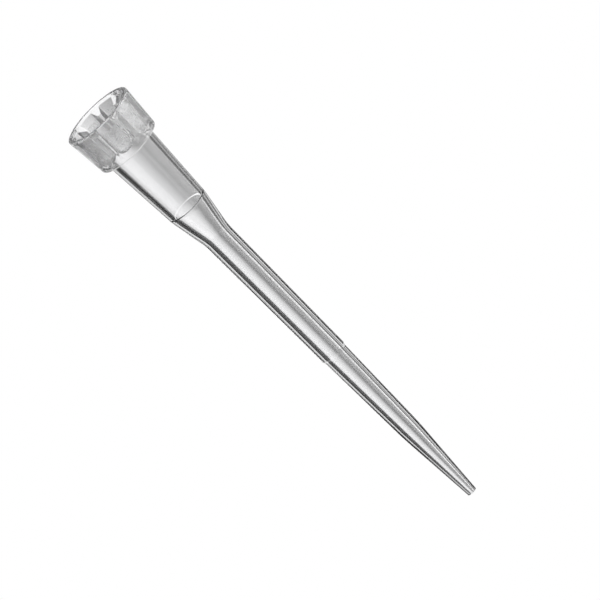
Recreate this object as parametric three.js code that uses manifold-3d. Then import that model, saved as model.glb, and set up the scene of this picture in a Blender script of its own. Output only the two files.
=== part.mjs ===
// A long micro-volume pipette tip, moulded in one piece of clear polypropylene.
// Millimetres, +Z up. The tip stands on its mouth: the rim of the wide end lies in z = 0,
// the axis is the Z axis and the point is at the top.
import * as THREE from 'three';
import { mergeVertices } from 'three/addons/utils/BufferGeometryUtils.js';
import Module from 'manifold-3d';

// Stages along the axis, one after another from the mouth to the point.
const funnelLength = 0.7;        // funnel that guides the nozzle in
const socketLength = 10.2;       // taper that grips the nozzle, down to the seat
const seatLand = 0.2;            // straight land just past the seat
const shoulderLength = 3.35;     // funnel down to the slender shaft
const shaftLength = 14.3;        // upper shaft, shoulder to step
const stepLength = 0.25;         // short cone where the outside steps in
const lowerShaftLength = 9.3;    // lower shaft, step to knee
const pointLength = 7.7;         // fine point, knee to orifice

// Bores (diameters).
const mouthBore = 5.76;          // at the rim
const socketBore = 3.92;         // start of the nozzle's taper, at the foot of the funnel
const seatBore = 2.98;           // end of the taper, at the seat
const shoulderBore = 1.58;       // top of the shaft
const stepBore = 1.42;           // at the step
const kneeBore = 1.04;           // at the knee
const orificeBore = 0.36;        // at the point

// Walls (thicknesses).
const rimWidth = 0.405;          // flat ring around the mouth
const barrelWall = 0.53;         // just below the collar
const seatWall = 0.425;          // at the seat
const shaftWall = 0.55;          // upper shaft
const stepWall = 0.52;           // just before the step
const stepDrop = 0.08;           // how far the outside steps in
const kneeWall = 0.455;          // at the knee
const pointWall = 0.26;          // at the orifice
const seatStep = 0.08;           // ledge that the nozzle stops against

// Collar: a thin skirt around the socket, which is held off it by ribs. The ribs are what is
// left between parallel-sided flutes that are sunk into the wall from inside.
const collarLength = 3.9;
const collarTaper = 4.6;         // degrees, narrower towards the point
const fluteCount = 7;
const fluteWidth = 1.46;
const fluteBore = 5.26;          // diameter across the flutes' floors, at the rim's height
const footThickness = 0.6;       // solid ring between the flutes and the collar's underside
const fluteDraft = 1.7;          // degrees, floors narrower towards the point
const fluteCorner = 0.6;         // corner radius at the foot of a flute

// Edge radii.
const rimEdge = 0.12;
const mouthEdge = 0.06;
const collarFootEdge = 0.18;
const barrelRoot = 0.12;
const funnelBlend = 0.5;
const shoulderBlend = 5;
const kneeBlend = 30;
const pointEdge = 0.05;

// Facets and cutters.
const sides = 8 * fluteCount;    // flat sides around the axis
const cornerSteps = 6;           // straight steps along each corner of a flute's outline
const arcStep = 22;              // degrees that one straight step of an edge radius may turn
const arcShare = 0.45;           // most of a straight run that one arc may take
const cutterReach = 1;           // how far a cutter runs past what it cuts
const weldDistance = 1e-5;       // vertices closer than this are one vertex

// Heights of the stages above the rim.
const socketZ = funnelLength;
const seatZ = socketZ + socketLength;
const shoulderZ = seatZ + seatLand;
const shaftZ = shoulderZ + shoulderLength;
const stepZ = shaftZ + shaftLength;
const lowerShaftZ = stepZ + stepLength;
const kneeZ = lowerShaftZ + lowerShaftLength;
const pointZ = kneeZ + pointLength;
const fluteEnd = collarLength - footThickness;

// Outside radii that follow from bore and wall.
const rimRadius = mouthBore / 2 + rimWidth;
const collarFootRadius = rimRadius - collarLength * Math.tan(THREE.MathUtils.degToRad(collarTaper));
const barrelRadius = socketRadiusAt(collarLength) + barrelWall;

// Radius of the nozzle's taper at a height.
function socketRadiusAt(z) {
  return THREE.MathUtils.lerp(socketBore, seatBore, (z - socketZ) / socketLength) / 2;
}

// Radius of the flutes' floors at a height. The flutes open where the funnel crosses it.
function floorRadiusAt(z) {
  return fluteBore / 2 - z * Math.tan(THREE.MathUtils.degToRad(fluteDraft));
}

// A corner of the wall's section: radius from the axis, height, and the blend of the corner.
function corner(radius, z, blend = 0) {
  return { at: new THREE.Vector2(radius, z), blend };
}

// Runs through the corners and turns each one that has a blend radius into an arc, with room
// left on every straight run for the arc at its other end.
function blended(corners, closed) {
  const points = [];
  corners.forEach(({ at, blend }, i) => {
    const before = corners.at(i - 1).at;
    const after = corners[(i + 1) % corners.length].at;
    const isEnd = !closed && (i === 0 || i === corners.length - 1);
    if (blend === 0 || isEnd) {
      points.push(at.clone());
      return;
    }
    const back = before.clone().sub(at);
    const ahead = after.clone().sub(at);
    const half = Math.acos(back.dot(ahead) / (back.length() * ahead.length())) / 2;
    const room = arcShare * Math.min(back.length(), ahead.length());
    const run = Math.min(blend / Math.tan(half), room);
    const start = at.clone().addScaledVector(back.normalize(), run);
    const end = at.clone().addScaledVector(ahead.normalize(), run);
    const turn = Math.PI - 2 * half;
    const steps = Math.max(2, Math.ceil(THREE.MathUtils.radToDeg(turn) / arcStep));
    const arc = new THREE.QuadraticBezierCurve(start, at, end);
    points.push(...arc.getPoints(steps));
  });
  return points;
}

// The wall's section: down the outside from the rim to the point, then back through the bore.
function wallSection() {
  const outside = [
    corner(rimRadius, 0, rimEdge),
    corner(collarFootRadius, collarLength, collarFootEdge),
    corner(barrelRadius, collarLength, barrelRoot),
    corner(seatBore / 2 + seatWall, shoulderZ, shoulderBlend),
    corner(shoulderBore / 2 + shaftWall, shaftZ, shoulderBlend),
    corner(stepBore / 2 + stepWall, stepZ),
    corner(stepBore / 2 + stepWall - stepDrop, lowerShaftZ),
    corner(kneeBore / 2 + kneeWall, kneeZ, kneeBlend),
    corner(orificeBore / 2 + pointWall, pointZ, pointEdge),
  ];
  const bore = [
    corner(orificeBore / 2, pointZ),
    corner(kneeBore / 2, kneeZ, kneeBlend),
    corner(stepBore / 2, stepZ),
    corner(shoulderBore / 2, shaftZ, shoulderBlend),
    corner(seatBore / 2 - seatStep, shoulderZ),
    corner(seatBore / 2 - seatStep, seatZ + seatStep),
    corner(seatBore / 2, seatZ),
    corner(socketBore / 2, socketZ, funnelBlend),
    corner(mouthBore / 2, 0, mouthEdge),
  ];
  const points = blended([...outside, ...bore], true);
  points.push(points[0].clone());
  return points;
}

// Everything inside the flutes' floors: a cone frustum that reaches past both of their ends.
function floorCore() {
  const low = -cutterReach;
  const high = fluteEnd + cutterReach;
  return new THREE.LatheGeometry([
    new THREE.Vector2(0, low),
    new THREE.Vector2(floorRadiusAt(low), low),
    new THREE.Vector2(floorRadiusAt(high), high),
    new THREE.Vector2(0, high),
  ], sides);
}

// Outline of one flute seen from the axis: across and up, with round corners at the foot. It
// runs out past the rim.
function fluteOutline() {
  const half = fluteWidth / 2;
  const cornerZ = fluteEnd - fluteCorner;
  const outline = new THREE.Shape();
  outline.moveTo(-half, -cutterReach);
  outline.lineTo(half, -cutterReach);
  outline.lineTo(half, cornerZ);
  outline.absarc(half - fluteCorner, cornerZ, fluteCorner, 0, Math.PI / 2, false);
  outline.lineTo(fluteCorner - half, fluteEnd);
  outline.absarc(fluteCorner - half, cornerZ, fluteCorner, Math.PI / 2, Math.PI, false);
  return outline;
}

// A straight bar with the flute's outline, from inside the bore out past the rim. Flute 0
// faces -Y.
function fluteBar(index) {
  const bar = new THREE.ExtrudeGeometry(fluteOutline(), {
    depth: rimRadius + cutterReach - seatBore / 2,
    bevelEnabled: false,
    curveSegments: cornerSteps,
  });
  bar.translate(0, 0, seatBore / 2);
  bar.rotateX(Math.PI / 2);
  return bar.rotateZ((index * 2 * Math.PI) / fluteCount);
}

// LatheGeometry turns about Y; this stands its axis up along Z.
function upright(geometry) {
  return geometry.rotateX(Math.PI / 2);
}

const wasm = await Module();
wasm.setup();

// A closed three.js geometry as a solid that can be joined and cut.
function solid(geometry) {
  geometry.deleteAttribute('normal');
  geometry.deleteAttribute('uv');
  const merged = mergeVertices(geometry, weldDistance);
  const piece = new wasm.Manifold(new wasm.Mesh({
    numProp: 3,
    vertProperties: new Float32Array(merged.attributes.position.array),
    triVerts: new Uint32Array(merged.index.array),
  }));
  if (piece.volume() < 0) {
    throw new Error('a solid is inside out');
  }
  return piece;
}

// The vertices and triangles of a solid as a three.js geometry.
function geometryOf(piece) {
  const { vertProperties, triVerts } = piece.getMesh();
  const geometry = new THREE.BufferGeometry();
  geometry.setAttribute('position', new THREE.BufferAttribute(vertProperties, 3));
  geometry.setIndex(new THREE.BufferAttribute(triVerts, 1));
  geometry.computeVertexNormals();
  return geometry;
}

function pipetteTip() {
  const wall = solid(upright(new THREE.LatheGeometry(wallSection(), sides)));
  const core = solid(upright(floorCore()));
  let tip = wall;
  for (let index = 0; index < fluteCount; index++) {
    tip = tip.subtract(solid(fluteBar(index)).intersect(core));
  }
  const clearPolypropylene = new THREE.MeshStandardMaterial({
    name: 'clear_polypropylene',
    color: 0xe4e6ea,
    roughness: 0.18,
    metalness: 0,
    transparent: true,
    opacity: 0.45,
  });
  const mesh = new THREE.Mesh(geometryOf(tip), clearPolypropylene);
  mesh.name = 'pipette_tip';
  return mesh;
}

const group = new THREE.Group();
group.add(pipetteTip());

export default group;
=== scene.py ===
# %% [markdown]
# # A clear pipette tip
# The tip is one moulding of clear polypropylene: a collar with ribs inside, a tapered socket for
# the pipette's nozzle, a shoulder, a slender stepped shaft and a fine open point. It stands on
# its mouth, with its axis along Z. The solid model of it is faceted, and clear plastic shows
# every facet twice, once on the way in and once on the way out. So this script makes the same
# moulding again with smooth surfaces, in the frame that the solid model gives.

# %% Load the fixed frame
import bmesh
import bpy
import math
from mathutils import Matrix, Vector


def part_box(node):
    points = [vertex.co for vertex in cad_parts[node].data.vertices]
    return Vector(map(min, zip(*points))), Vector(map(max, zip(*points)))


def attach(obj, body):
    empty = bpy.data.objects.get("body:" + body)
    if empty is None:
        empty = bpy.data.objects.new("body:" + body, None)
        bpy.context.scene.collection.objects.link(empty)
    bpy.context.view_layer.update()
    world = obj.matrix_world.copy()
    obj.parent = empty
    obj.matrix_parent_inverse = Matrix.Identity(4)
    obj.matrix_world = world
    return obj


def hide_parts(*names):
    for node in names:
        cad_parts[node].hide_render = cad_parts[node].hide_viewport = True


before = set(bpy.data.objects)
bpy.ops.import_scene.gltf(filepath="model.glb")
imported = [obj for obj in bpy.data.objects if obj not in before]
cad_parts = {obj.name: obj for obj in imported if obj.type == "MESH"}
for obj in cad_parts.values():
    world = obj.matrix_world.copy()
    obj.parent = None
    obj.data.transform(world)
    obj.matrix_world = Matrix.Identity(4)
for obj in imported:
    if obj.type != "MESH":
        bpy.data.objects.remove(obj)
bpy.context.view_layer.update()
MM = 0.001
low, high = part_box("pipette_tip")
point_height = high[2] / MM - 0.0001  # rounding stays inside the frame's box
print("frame box in mm:", [round(v / MM, 2) for v in high], "point at", round(point_height, 2))

# %% [markdown]
# ## Sizes
# These are the moulding's own sizes in millimetres, the same ones that the solid was made from.
# Heights are measured up from the rim. A wall is what lies between a bore and the outside, so
# each outside radius below is a bore radius and a wall added together. That is how a moulder
# thinks of it: the pin sets the bore, and the cavity around the pin sets the wall.

# %% Sizes of the stages, bores and walls
seat_height = 10.9
shoulder_height = 11.1
shaft_height = 14.45
step_height = 28.75
lower_shaft_height = 29.0
knee_height = 38.3

mouth_bore, socket_bore, seat_bore = 5.76, 3.92, 2.98
shaft_bore, step_bore, knee_bore, orifice_bore = 1.58, 1.42, 1.04, 0.36
rim_width, barrel_wall, seat_wall, shaft_wall = 0.405, 0.53, 0.425, 0.55
step_wall, step_drop, knee_wall, point_wall = 0.52, 0.08, 0.455, 0.26
funnel_depth, seat_ledge = 0.7, 0.08

# %% Sizes of the collar and its flutes
collar_length = 3.9
collar_taper = math.radians(4.6)
flute_count = 7
flute_width = 1.46
flute_foot = 3.3
foot_corner = 0.6
flute_bore = 5.26
flute_draft = math.radians(1.7)

rim_radius = mouth_bore / 2 + rim_width
collar_foot_radius = rim_radius - collar_length * math.tan(collar_taper)


def mix(a, b, t):
    return a + (b - a) * t


def socket_radius(z):
    """The nozzle socket's radius at a height between the funnel and the seat."""
    along = (z - funnel_depth) / (seat_height - funnel_depth)
    return mix(socket_bore, seat_bore, along) / 2


barrel_radius = socket_radius(collar_length) + barrel_wall
print("collar", round(2 * rim_radius, 2), "to", round(2 * collar_foot_radius, 2),
      "barrel", round(2 * barrel_radius, 2))

# %% [markdown]
# ## The turned wall
# Everything but the flutes is a turned form, so it starts as the wall's section: one flat face
# in the XZ plane with a vertex at each corner. Rounding a corner of a flat face is a vertex
# bevel, which keeps each radius separate from its neighbours. The face is then dropped and its
# outline is spun about Z. A stack of cylinders could give the same stages, but each joint
# between them would have to be bridged. A spin of a closed outline leaves no ends to cap.

# %% Draw the section and round its corners
sides = 24 * flute_count

section = [
    # radius, height, corner radius, arc steps
    (rim_radius, 0.0, 0.12, 5),
    (collar_foot_radius, collar_length, 0.18, 6),
    (barrel_radius, collar_length, 0.12, 5),
    (seat_bore / 2 + seat_wall, shoulder_height, 5, 8),
    (shaft_bore / 2 + shaft_wall, shaft_height, 5, 8),
    (step_bore / 2 + step_wall, step_height, 0.12, 3),
    (step_bore / 2 + step_wall - step_drop, lower_shaft_height, 0.12, 3),
    (knee_bore / 2 + knee_wall, knee_height, 30, 8),
    (orifice_bore / 2 + point_wall, point_height, 0.05, 4),
    (orifice_bore / 2, point_height, 0.02, 3),
    (knee_bore / 2, knee_height, 30, 8),
    (step_bore / 2, step_height, 60, 6),
    (shaft_bore / 2, shaft_height, 5, 8),
    (seat_bore / 2 - seat_ledge, shoulder_height, 0.4, 4),
    (seat_bore / 2 - seat_ledge, seat_height + seat_ledge, 0.02, 2),
    (seat_bore / 2, seat_height, 0.2, 6),
    (socket_radius(collar_length), collar_length, 0, 0),
    (socket_bore / 2, funnel_depth, 0.5, 6),
    (mouth_bore / 2, 0.0, 0.06, 3),
]


def round_corners(bm, corners, outline):
    """Bevels the corner vertices of a flat outline, each to its own radius in as many steps."""
    places = [corner.co.copy() for corner in corners]
    for i, (_, _, radius, steps) in enumerate(outline):
        if radius:
            before, at, after = places[i - 1], places[i], places[(i + 1) % len(places)]
            run = radius * math.tan((at - before).angle(after - at) / 2)
            bmesh.ops.bevel(bm, geom=[corners[i]], offset=run, offset_type="OFFSET",
                            segments=steps, profile=0.5, affect="VERTICES", material=-1)


wall_bm = bmesh.new()
corners = [wall_bm.verts.new((radius, 0, height)) for radius, height, _, _ in section]
wall_bm.faces.new(corners)
round_corners(wall_bm, corners, section)
bmesh.ops.delete(wall_bm, geom=list(wall_bm.faces), context="FACES_ONLY")
print("section:", len(wall_bm.verts), "points after rounding")

# %% Spin the section into the wall
def spun(bm, steps):
    """Turns an outline about Z into a closed skin whose normals face outwards."""
    bmesh.ops.spin(bm, geom=list(bm.edges) + list(bm.verts), cent=(0, 0, 0), axis=(0, 0, 1),
                   angle=2 * math.pi, steps=steps, use_merge=True, use_duplicate=False)
    bmesh.ops.remove_doubles(bm, verts=bm.verts, dist=1e-4)
    bmesh.ops.recalc_face_normals(bm, faces=bm.faces)


spun(wall_bm, sides)
print("wall:", len(wall_bm.faces), "faces,", len([e for e in wall_bm.edges if e.is_boundary]),
      "open edges")

# %% [markdown]
# ## The flutes inside the collar
# Seven flutes are sunk into the socket from inside, and the ribs left between them are what
# grips the nozzle. A flute's two sides are parallel to each other, its foot is rounded and its
# floor is part of a cone, so no wrapped or spun sheet has its shape. It is cut instead: a bar
# with the flute's outline is trimmed by a core that ends at the floors, and the trimmed bars
# are taken out of the wall. The cut edges are then bevelled, because a clear moulding shows each
# edge as a thin bright and dark line, and a perfectly sharp edge has none.

# %% Shape the bars and the core that trims them
def floor_radius(z):
    """The radius of the flutes' floors at a height."""
    return flute_bore / 2 - z * math.tan(flute_draft)


past = 1.0
half = flute_width / 2
flute_outline = [
    # across, height, corner radius, arc steps
    (-half, -past, 0, 0),
    (half, -past, 0, 0),
    (half, flute_foot, foot_corner, 9),
    (-half, flute_foot, foot_corner, 9),
]
bars_bm = bmesh.new()
bar_corners = [bars_bm.verts.new((x, -past, z)) for x, z, _, _ in flute_outline]
bars_bm.faces.new(bar_corners)
round_corners(bars_bm, bar_corners, flute_outline)
grown = bmesh.ops.extrude_face_region(bars_bm, geom=bars_bm.faces[:])["geom"]
for vert in (item for item in grown if isinstance(item, bmesh.types.BMVert)):
    vert.co.y = -rim_radius
bmesh.ops.recalc_face_normals(bars_bm, faces=bars_bm.faces)
one_bar = bars_bm.verts[:] + bars_bm.edges[:] + bars_bm.faces[:]
for k in range(1, flute_count):
    copy = bmesh.ops.duplicate(bars_bm, geom=one_bar)["geom"]
    bmesh.ops.rotate(bars_bm, verts=[v for v in copy if isinstance(v, bmesh.types.BMVert)],
                     cent=(0, 0, 0), matrix=Matrix.Rotation(k * 2 * math.pi / flute_count, 3, "Z"))

core_bm = bmesh.new()
core_outline = [(past / 2, -2 * past), (floor_radius(-2 * past), -2 * past),
                (floor_radius(flute_foot + past), flute_foot + past),
                (past / 2, flute_foot + past)]
core_bm.faces.new([core_bm.verts.new((radius, 0, z)) for radius, z in core_outline])
bmesh.ops.delete(core_bm, geom=list(core_bm.faces), context="FACES_ONLY")
spun(core_bm, sides)
print("bars:", flute_count, "core radius:", round(floor_radius(0), 3), "to",
      round(floor_radius(flute_foot), 3))

# %% Two helpers for cutting
def helper(bm, name):
    """An object that only lends its shape to a cut."""
    mesh = bpy.data.meshes.new(name)
    bm.to_mesh(mesh)
    bm.free()
    obj = bpy.data.objects.new(name, mesh)
    bpy.context.scene.collection.objects.link(obj)
    return obj


def cut(obj, operation, other):
    """Adds an exact Boolean modifier."""
    modifier = obj.modifiers.new(operation.lower(), "BOOLEAN")
    modifier.operation = operation
    modifier.object = other
    modifier.solver = "EXACT"
    modifier.use_self = operation == "INTERSECT"


# %% Cut the flutes
wall, bars, core = (helper(bm, name) for bm, name in
                    ((wall_bm, "turned_wall"), (bars_bm, "flute_bars"), (core_bm, "floor_core")))
cut(bars, "INTERSECT", core)
cut(wall, "DIFFERENCE", bars)
cut_mesh = bpy.data.meshes.new_from_object(
    wall.evaluated_get(bpy.context.evaluated_depsgraph_get()))
tip_bm = bmesh.new()
tip_bm.from_mesh(cut_mesh)
bpy.data.meshes.remove(cut_mesh)
for obj in (wall, bars, core):
    mesh = obj.data
    bpy.data.objects.remove(obj)
    bpy.data.meshes.remove(mesh)
bmesh.ops.remove_doubles(tip_bm, verts=tip_bm.verts, dist=1e-4)
bmesh.ops.dissolve_degenerate(tip_bm, edges=tip_bm.edges, dist=1e-4)
print("cut moulding:", len(tip_bm.faces), "faces,",
      len([e for e in tip_bm.edges if not e.is_manifold]), "open edges")

# %% Round the cut edges
edge_softness = 0.03
crisp = math.radians(28)
near_rim = 0.15
slack = 0.01
cut_edges = [edge for edge in tip_bm.edges
             if edge.calc_face_angle(0) > crisp
             and all(near_rim < vert.co.z < flute_foot + slack
                     and vert.co.xy.length < flute_bore / 2 + 5 * slack for vert in edge.verts)]
OUTSIDE, BORE, FLUTE_FLOOR, COLLAR, FLUTE_SIDE, SOFT_EDGE = range(6)
softened = bmesh.ops.bevel(tip_bm, geom=cut_edges, offset=edge_softness, offset_type="OFFSET",
                           segments=2, profile=0.5, affect="EDGES", material=-1)
for face in softened["faces"]:
    face.material_index = SOFT_EDGE
bmesh.ops.recalc_face_normals(tip_bm, faces=tip_bm.faces)
print("rounded edges:", len(cut_edges), "faces now:", len(tip_bm.faces), "open edges:",
      len([e for e in tip_bm.edges if not e.is_manifold]))

# %% [markdown]
# ## Which face gets which finish
# One skin carries five finishes, as the steel of the mould does. A face is sorted by its
# place: a radius inside the wall at the same height tells the bore from the outside, and in the
# collar a face beyond the socket belongs to a flute. A flute's floor looks at the axis and its
# sides don't. The floors' grain starts a little above the rim, so the skin is first split by a
# level plane there, which adds an edge and leaves the shape alone. The softened edges are
# polished like the bore.

# %% Where the bore lies, with and without the flutes
def wall_middle(z):
    """A radius that lies inside the wall at a height: larger is outside, smaller is bore."""
    stages = [(0, rim_radius - rim_width / 2), (collar_length, collar_foot_radius - 0.1),
              (collar_length, socket_radius(collar_length) + barrel_wall / 2),
              (seat_height, seat_bore / 2 + seat_wall / 2),
              (shaft_height, shaft_bore / 2 + shaft_wall / 2),
              (step_height, step_bore / 2 + step_wall / 2),
              (knee_height, knee_bore / 2 + knee_wall / 2),
              (point_height, orifice_bore / 2 + point_wall / 2)]
    for (low_z, low_r), (high_z, high_r) in zip(stages, stages[1:]):
        if z < high_z:
            return mix(low_r, high_r, (z - low_z) / (high_z - low_z))
    return high_r


def bore_radius(z):
    """The radius of the funnel or the socket at a height, without the flutes."""
    if z < funnel_depth:
        return mix(mouth_bore / 2, socket_bore / 2, z / funnel_depth)
    return socket_radius(z)


print("wall's middle at the rim, the seat and the point:",
      [round(wall_middle(z), 3) for z in (0, seat_height, point_height)])

# %% The rule that sorts a face
grain_start = 0.85
hair = 0.001
flute_clearance = 0.1
facing_axis = 0.8


def finish_of(face):
    """The finish that a face's place and direction call for."""
    middle = face.calc_center_median()
    if face.material_index == SOFT_EDGE:
        return BORE
    if middle.xy.length >= wall_middle(middle.z):
        return COLLAR if middle.z <= collar_length + hair else OUTSIDE
    past_socket = middle.xy.length - bore_radius(middle.z)
    if middle.z >= flute_foot + slack or past_socket <= flute_clearance:
        return BORE
    outward = Vector((middle.x, middle.y, 0)).normalized()
    if abs(face.normal.dot(outward)) <= facing_axis:
        return FLUTE_SIDE
    return FLUTE_FLOOR if middle.z > grain_start else COLLAR


# %% Sort the faces
bmesh.ops.bisect_plane(tip_bm, geom=tip_bm.verts[:] + tip_bm.edges[:] + tip_bm.faces[:],
                       dist=1e-4, plane_co=(0, 0, grain_start), plane_no=(0, 0, 1))
for face in tip_bm.faces:
    face.smooth = True
    face.material_index = finish_of(face)
finishes = [face.material_index for face in tip_bm.faces]
print("faces by finish:", [finishes.count(finish) for finish in range(SOFT_EDGE)])

# %% Make the object
bmesh.ops.scale(tip_bm, vec=(MM, MM, MM), verts=tip_bm.verts)
tip_mesh = bpy.data.meshes.new("moulded_tip")
tip_bm.to_mesh(tip_mesh)
tip_bm.free()
tip = bpy.data.objects.new("moulded_tip", tip_mesh)
bpy.context.scene.collection.objects.link(tip)
weighted = tip.modifiers.new("even_shading", "WEIGHTED_NORMAL")
weighted.mode = "FACE_AREA"
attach(tip, "root")
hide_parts("pipette_tip")
print("tip box in mm:", [round(v / MM, 3) for v in tip.dimensions])

# %% [markdown]
# ## Clear polypropylene
# The moulding is one material with a finish for each of its surfaces. The pin that forms the
# bore is polished, the flutes keep the fine spark texture of their pads, and the outside of
# the collar is a little hazy. Glass with a constant roughness looks like a drawing of plastic,
# so one node group makes the grain for all the finishes: a noise on object coordinates that
# shifts the roughness and leans the normal. The grain's size and height are in millimetres.
# Haze is what the shader doesn't transmit: with a Transmission Weight under 1, the rest of it
# scatters light as solid plastic does.

# %% A node group for moulded grain
def socket(group, name, kind, direction, value=None):
    made = group.interface.new_socket(name=name, in_out=direction, socket_type=kind)
    if value is not None:
        made.default_value = value


grain = bpy.data.node_groups.new("moulded_grain", "ShaderNodeTree")
socket(grain, "Grain Size", "NodeSocketFloat", "INPUT", 0.1)
socket(grain, "Roughness", "NodeSocketFloat", "INPUT", 0.1)
socket(grain, "Variation", "NodeSocketFloat", "INPUT", 0.05)
socket(grain, "Height", "NodeSocketFloat", "INPUT", 0.01)
socket(grain, "Roughness", "NodeSocketFloat", "OUTPUT")
socket(grain, "Normal", "NodeSocketVector", "OUTPUT")
nodes, links = grain.nodes, grain.links
given = nodes.new("NodeGroupInput")
result = nodes.new("NodeGroupOutput")
place = nodes.new("ShaderNodeTexCoord")
per_grain = nodes.new("ShaderNodeMath")
per_grain.operation = "DIVIDE"
per_grain.inputs[0].default_value = 1 / MM
links.new(given.outputs["Grain Size"], per_grain.inputs[1])
noise = nodes.new("ShaderNodeTexNoise")
noise.inputs["Detail"].default_value = 3
links.new(place.outputs["Object"], noise.inputs["Vector"])
links.new(per_grain.outputs[0], noise.inputs["Scale"])
centred = nodes.new("ShaderNodeMath")
centred.operation = "SUBTRACT"
centred.inputs[1].default_value = 0.5
links.new(noise.outputs["Fac"], centred.inputs[0])
shifted = nodes.new("ShaderNodeMath")
shifted.operation = "MULTIPLY_ADD"
shifted.use_clamp = True
links.new(centred.outputs[0], shifted.inputs[0])
links.new(given.outputs["Variation"], shifted.inputs[1])
links.new(given.outputs["Roughness"], shifted.inputs[2])
links.new(shifted.outputs[0], result.inputs["Roughness"])
metres = nodes.new("ShaderNodeMath")
metres.operation = "MULTIPLY"
metres.inputs[1].default_value = MM
links.new(given.outputs["Height"], metres.inputs[0])
lean = nodes.new("ShaderNodeBump")
links.new(metres.outputs[0], lean.inputs["Distance"])
links.new(noise.outputs["Fac"], lean.inputs["Height"])
links.new(lean.outputs["Normal"], result.inputs["Normal"])
print("grain group:", len(nodes), "nodes")


# %% Finishes of the moulding
def clear_plastic(name, clear, size, roughness, variation, height):
    """Clear polypropylene with a moulded grain; the sizes are in millimetres."""
    material = bpy.data.materials.new(name)
    material.use_nodes = True
    tree = material.node_tree
    shader = tree.nodes["Principled BSDF"]
    shader.inputs["Base Color"].default_value = (0.985, 0.985, 0.99, 1)
    shader.inputs["IOR"].default_value = 1.49
    shader.inputs["Transmission Weight"].default_value = clear
    surface = tree.nodes.new("ShaderNodeGroup")
    surface.node_tree = grain
    surface.inputs["Grain Size"].default_value = size
    surface.inputs["Roughness"].default_value = roughness
    surface.inputs["Variation"].default_value = variation
    surface.inputs["Height"].default_value = height
    tree.links.new(surface.outputs["Roughness"], shader.inputs["Roughness"])
    tree.links.new(surface.outputs["Normal"], shader.inputs["Normal"])
    return material


tip_mesh.materials.append(clear_plastic("clear_outside", 1.0, 0.6, 0.01, 0.02, 0.0002))
tip_mesh.materials.append(clear_plastic("clear_bore", 0.99, 0.4, 0.02, 0.02, 0.0001))
tip_mesh.materials.append(clear_plastic("clear_flute", 0.86, 0.15, 0.3, 0.5, 0.03))
tip_mesh.materials.append(clear_plastic("clear_collar", 0.86, 0.3, 0.1, 0.05, 0.001))
tip_mesh.materials.append(clear_plastic("clear_flute_wall", 0.78, 0.15, 0.35, 0.5, 0.02))
print("finishes:", [material.name for material in tip_mesh.materials])

# %% [markdown]
# ## The table
# The tip stands on a plain pale table. It is a single quad, and its material turns transparent
# where it is seen from its back, so the tip also shows from a low angle. Backfacing is
# read in the material itself and mixes the pale plastic with a transparent shader.

# %% Table
table_reach = 0.4
floor_bm = bmesh.new()
bmesh.ops.create_grid(floor_bm, x_segments=1, y_segments=1, size=table_reach)
floor_mesh = bpy.data.meshes.new("table")
floor_bm.to_mesh(floor_mesh)
floor_bm.free()
table = bpy.data.objects.new("table", floor_mesh)
bpy.context.scene.collection.objects.link(table)
table_material = bpy.data.materials.new("pale_table")
table_material.use_nodes = True
nodes, links = table_material.node_tree.nodes, table_material.node_tree.links
nodes["Principled BSDF"].inputs["Base Color"].default_value = (0.86, 0.86, 0.86, 1)
nodes["Principled BSDF"].inputs["Roughness"].default_value = 0.6
side = nodes.new("ShaderNodeNewGeometry")
gone = nodes.new("ShaderNodeBsdfTransparent")
chooser = nodes.new("ShaderNodeMixShader")
links.new(side.outputs["Backfacing"], chooser.inputs["Fac"])
links.new(nodes["Principled BSDF"].outputs["BSDF"], chooser.inputs[1])
links.new(gone.outputs["BSDF"], chooser.inputs[2])
links.new(chooser.outputs["Shader"], nodes["Material Output"].inputs["Surface"])
floor_mesh.materials.append(table_material)
print("table:", [round(v, 2) for v in table.dimensions[:2]], "m")

# %% [markdown]
# ## Light
# A clear tube has no shading of its own: all that shows is what stands around it, bent by the
# walls. So the light is a ring of upright cards on a dark ground, at the level that the camera
# looks along, with an even pale surround above and below it. Each card is given by the compass
# angle of its two edges, seen from the tip: 0 is straight behind it, and positive is towards
# the upper side of the picture. The rays that the camera sends past the tip find plain white.

# %% A node group for one upright card
card = bpy.data.node_groups.new("upright_card", "ShaderNodeTree")
for name in ("Angle", "From", "To", "Softness", "Level"):
    socket(card, name, "NodeSocketFloat", "INPUT", 0)
socket(card, "Light", "NodeSocketFloat", "OUTPUT")
nodes, links = card.nodes, card.links
given = nodes.new("NodeGroupInput")
result = nodes.new("NodeGroupOutput")


def soft_edge(place_name):
    """A step from 0 to 1 centred on one edge of the card, as wide as its softness each way."""
    start = nodes.new("ShaderNodeMath")
    start.operation = "SUBTRACT"
    links.new(given.outputs[place_name], start.inputs[0])
    links.new(given.outputs["Softness"], start.inputs[1])
    end = nodes.new("ShaderNodeMath")
    end.operation = "ADD"
    links.new(given.outputs[place_name], end.inputs[0])
    links.new(given.outputs["Softness"], end.inputs[1])
    step = nodes.new("ShaderNodeMapRange")
    step.interpolation_type = "SMOOTHSTEP"
    links.new(given.outputs["Angle"], step.inputs["Value"])
    links.new(start.outputs[0], step.inputs["From Min"])
    links.new(end.outputs[0], step.inputs["From Max"])
    return step.outputs["Result"]


inside = nodes.new("ShaderNodeMath")
inside.operation = "SUBTRACT"
links.new(soft_edge("From"), inside.inputs[0])
links.new(soft_edge("To"), inside.inputs[1])
level = nodes.new("ShaderNodeMath")
level.operation = "MULTIPLY"
links.new(inside.outputs[0], level.inputs[0])
links.new(given.outputs["Level"], level.inputs[1])
links.new(level.outputs[0], result.inputs["Light"])
print("card group:", len(nodes), "nodes")

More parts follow.
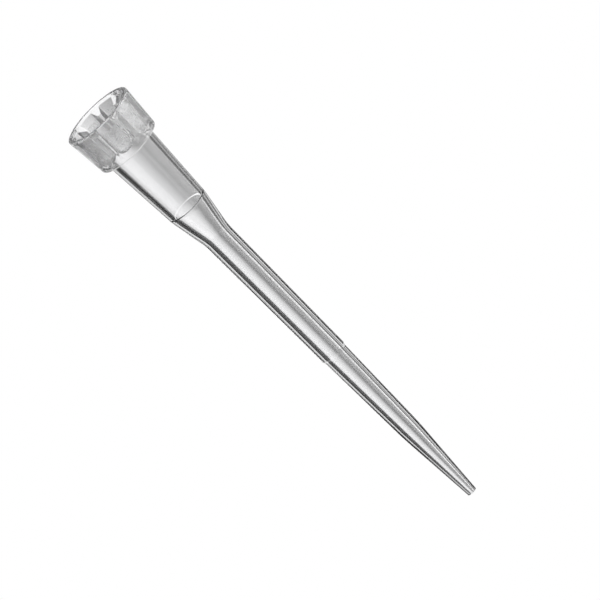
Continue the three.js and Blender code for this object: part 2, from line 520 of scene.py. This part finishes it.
# %% The cards of the studio
view_turn = math.radians(3.8)
tilt = math.radians(16)
dark_ground = 0.035
ring_foot, ring_top, ring_fade = -0.1, 0.46, 0.12
pale_surround = 1.15
cards = [
    # what it is, edge, other edge, softness in degrees, level
    ("white backdrop", -25, 2, 5, 0.82),
    ("grey backdrop", 2, 21, 4, 0.2),
    ("narrow strip", 25, 41, 4, 0.4),
    ("side window", 68, 150, 6, 1.7),
    ("middle of the side window", 85, 125, 12, 0.9),
    ("dim wall", -122, -62, 8, 0.05),
    ("weak lamp", -114, -92, 8, 0.2),
]

print("cards:", [name for name, *_ in cards])

# %% The direction of each ray, as an angle around the tip
world = bpy.data.worlds.new("studio")
bpy.context.scene.world = world
world.use_nodes = True
nodes, links = world.node_tree.nodes, world.node_tree.links
nodes.clear()


def math_node(operation, first, second=None):
    """One Math node; a number sets an input and a socket is linked to it."""
    node = nodes.new("ShaderNodeMath")
    node.operation = operation
    for k, value in enumerate((first, second)):
        if isinstance(value, bpy.types.NodeSocket):
            links.new(value, node.inputs[k])
        elif value is not None:
            node.inputs[k].default_value = value
    return node.outputs[0]


where = nodes.new("ShaderNodeTexCoord")
turned = nodes.new("ShaderNodeVectorRotate")
turned.rotation_type = "Z_AXIS"
turned.inputs["Angle"].default_value = view_turn
links.new(where.outputs["Generated"], turned.inputs["Vector"])
split = nodes.new("ShaderNodeSeparateXYZ")
links.new(turned.outputs["Vector"], split.inputs["Vector"])
across = math_node("MULTIPLY", split.outputs["X"], -1)
angle = math_node("DEGREES", math_node("ARCTAN2", across, split.outputs["Y"]))

# %% The ring of cards and the pale surround
ring = dark_ground
for name, edge, other_edge, softness, strength in cards:
    node = nodes.new("ShaderNodeGroup")
    node.node_tree = card
    node.label = name
    links.new(angle, node.inputs["Angle"])
    node.inputs["From"].default_value = edge
    node.inputs["To"].default_value = other_edge
    node.inputs["Softness"].default_value = softness
    node.inputs["Level"].default_value = strength
    ring = math_node("ADD", node.outputs["Light"], ring)
surround = []
for start, end in ((ring_top, ring_top + ring_fade), (ring_foot, ring_foot - ring_fade)):
    fade = nodes.new("ShaderNodeMapRange")
    fade.interpolation_type = "SMOOTHSTEP"
    fade.inputs["From Min"].default_value = start
    fade.inputs["From Max"].default_value = end
    links.new(split.outputs["Z"], fade.inputs["Value"])
    surround.append(fade.outputs["Result"])
brightness = nodes.new("ShaderNodeMix")
links.new(math_node("ADD", *surround), brightness.inputs["Factor"])
links.new(ring, brightness.inputs["A"])
brightness.inputs["B"].default_value = pale_surround
print("world:", len(nodes), "nodes")

# %% Light for the tip and plain white for the camera
studio = nodes.new("ShaderNodeBackground")
links.new(brightness.outputs["Result"], studio.inputs["Strength"])
plain = nodes.new("ShaderNodeBackground")
studio.inputs["Color"].default_value = plain.inputs["Color"].default_value = (1, 1, 1, 1)
path = nodes.new("ShaderNodeLightPath")
seen = nodes.new("ShaderNodeMixShader")
links.new(path.outputs["Is Camera Ray"], seen.inputs["Fac"])
links.new(studio.outputs["Background"], seen.inputs[1])
links.new(plain.outputs["Background"], seen.inputs[2])
out = nodes.new("ShaderNodeOutputWorld")
links.new(seen.outputs["Shader"], out.inputs["Surface"])
bpy.context.scene.view_settings.view_transform = "Standard"

# %% [markdown]
# ## Camera
# A long lens from almost a metre away shows the thin tip with hardly any perspective. The
# camera looks a little down into the mouth and is rolled about its own axis, so the standing
# tip lies across the picture from corner to corner. Its matrix is written from three
# directions: to the right, up, and back from what it looks at.

# %% Camera
roll = math.radians(45.13)
distance = 0.9645
aside, above = -16.775 * MM, 15.27 * MM

ahead = Vector((math.sin(view_turn), math.cos(view_turn), 0))
toward = ahead * math.cos(tilt) + Vector((0, 0, math.sin(tilt)))
along_tip = Vector((0, 0, math.cos(tilt))) - ahead * math.sin(tilt)
across_tip = Vector((-math.cos(view_turn), math.sin(view_turn), 0))
right = along_tip * math.cos(roll) + across_tip * math.sin(roll)
up = across_tip * math.cos(roll) - along_tip * math.sin(roll)
place = -distance * toward - aside * right - above * up
camera_data = bpy.data.cameras.new("camera")
camera_data.lens = 700
camera_data.sensor_width = 36
camera_data.clip_start = 0.01
camera_data.clip_end = 10
camera = bpy.data.objects.new("camera", camera_data)
bpy.context.scene.collection.objects.link(camera)
camera.matrix_world = Matrix((
    (right.x, up.x, -toward.x, place.x),
    (right.y, up.y, -toward.y, place.y),
    (right.z, up.z, -toward.z, place.z),
    (0, 0, 0, 1),
))
bpy.context.scene.camera = camera
print("camera at", [round(v, 3) for v in camera.matrix_world.translation])
